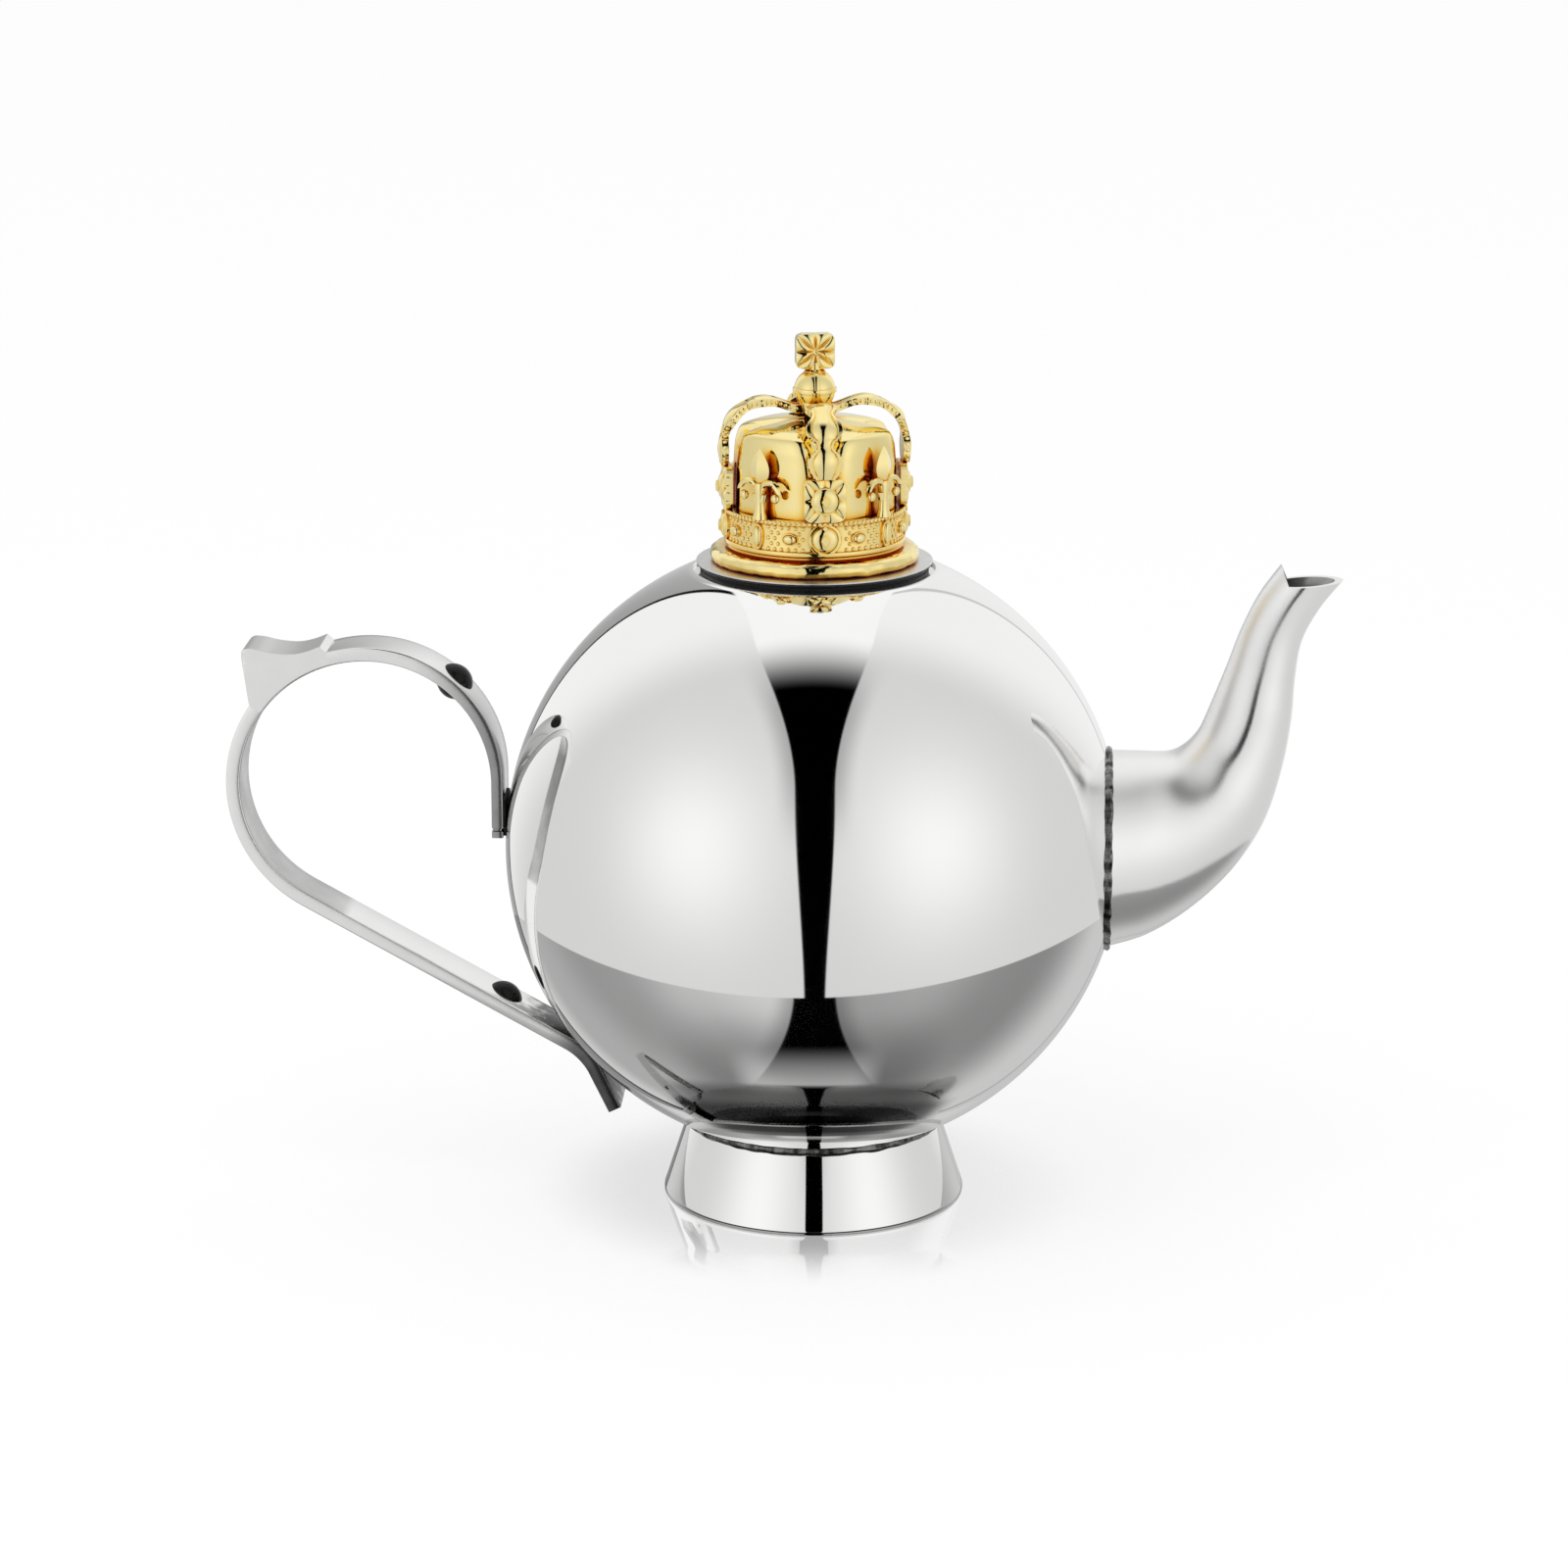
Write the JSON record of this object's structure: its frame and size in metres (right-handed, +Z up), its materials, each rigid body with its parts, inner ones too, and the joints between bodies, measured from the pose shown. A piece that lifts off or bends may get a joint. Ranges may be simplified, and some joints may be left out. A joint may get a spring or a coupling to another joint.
{
  "type": "teapot",
  "caption": "Ball-shaped polished silver teapot on a conical foot, with a swan-neck spout, a bent strap handle and a lift-off lid that carries a gold crown.",
  "frame": {"origin": "middle of the foot's rim, on the table", "axes": "+Z up along the pot's axis, +X towards the spout, +Y to the pot's left side seen from the handle"},
  "size_m": [0.2244, 0.125, 0.1775],
  "materials": {
    "silver": "mirror polished silver plate",
    "strap_silver": "polished faces, brushed edges",
    "solder": "rough cast bead",
    "black_plug": "satin",
    "seal": "matte",
    "gold": "polished gold plate",
    "steel": "brushed"
  },
  "bodies": {
    "pot": {"lower_bowl": "silver", "upper_bowl": "silver", "mouth_collar": "silver", "foot_ring": "silver", "foot_solder": "solder", "spout_left_half": "silver", "spout_right_half": "silver", "spout_solder": "solder", "handle_strap": "strap_silver", "thumb_rest": "strap_silver", "handle_upper_plug": "black_plug", "handle_lower_plug": "black_plug", "handle_upper_solder": "solder", "handle_lower_solder": "solder"},
    "lid_seal": {"lid_seal": "seal"},
    "lid": {"lid_disc": "silver", "lid_skirt": "silver", "lid_fixing_screw": "steel", "lid_screw_washer": "steel", "crown_base_ring": "gold", "crown_circlet": "gold", "circlet_round_gems": "gold", "circlet_tall_gems": "gold", "circlet_oval_gems": "gold", "crown_cross_front": "gold", "crown_cross_right": "gold", "crown_cross_back": "gold", "crown_cross_left": "gold", "crown_fleur_front_right": "gold", "crown_fleur_back_right": "gold", "crown_fleur_back_left": "gold", "crown_fleur_front_left": "gold", "crown_arch_front": "gold", "crown_arch_right": "gold", "crown_arch_back": "gold", "crown_arch_left": "gold", "crown_cap": "gold", "crown_orb": "gold", "crown_orb_band": "gold", "crown_finial_cross": "gold"}
  },
  "joints": [
    {"name": "lid_lift", "type": "slide", "parent": "pot", "child": "lid_seal", "axis": [0, 0, 1], "range_m": [0, 0.04]},
    {"name": "lid_turn", "type": "hinge", "parent": "lid_seal", "child": "lid", "pos_m": [0, 0, 0.1315], "axis": [0, 0, 1], "continuous": true}
  ]
}
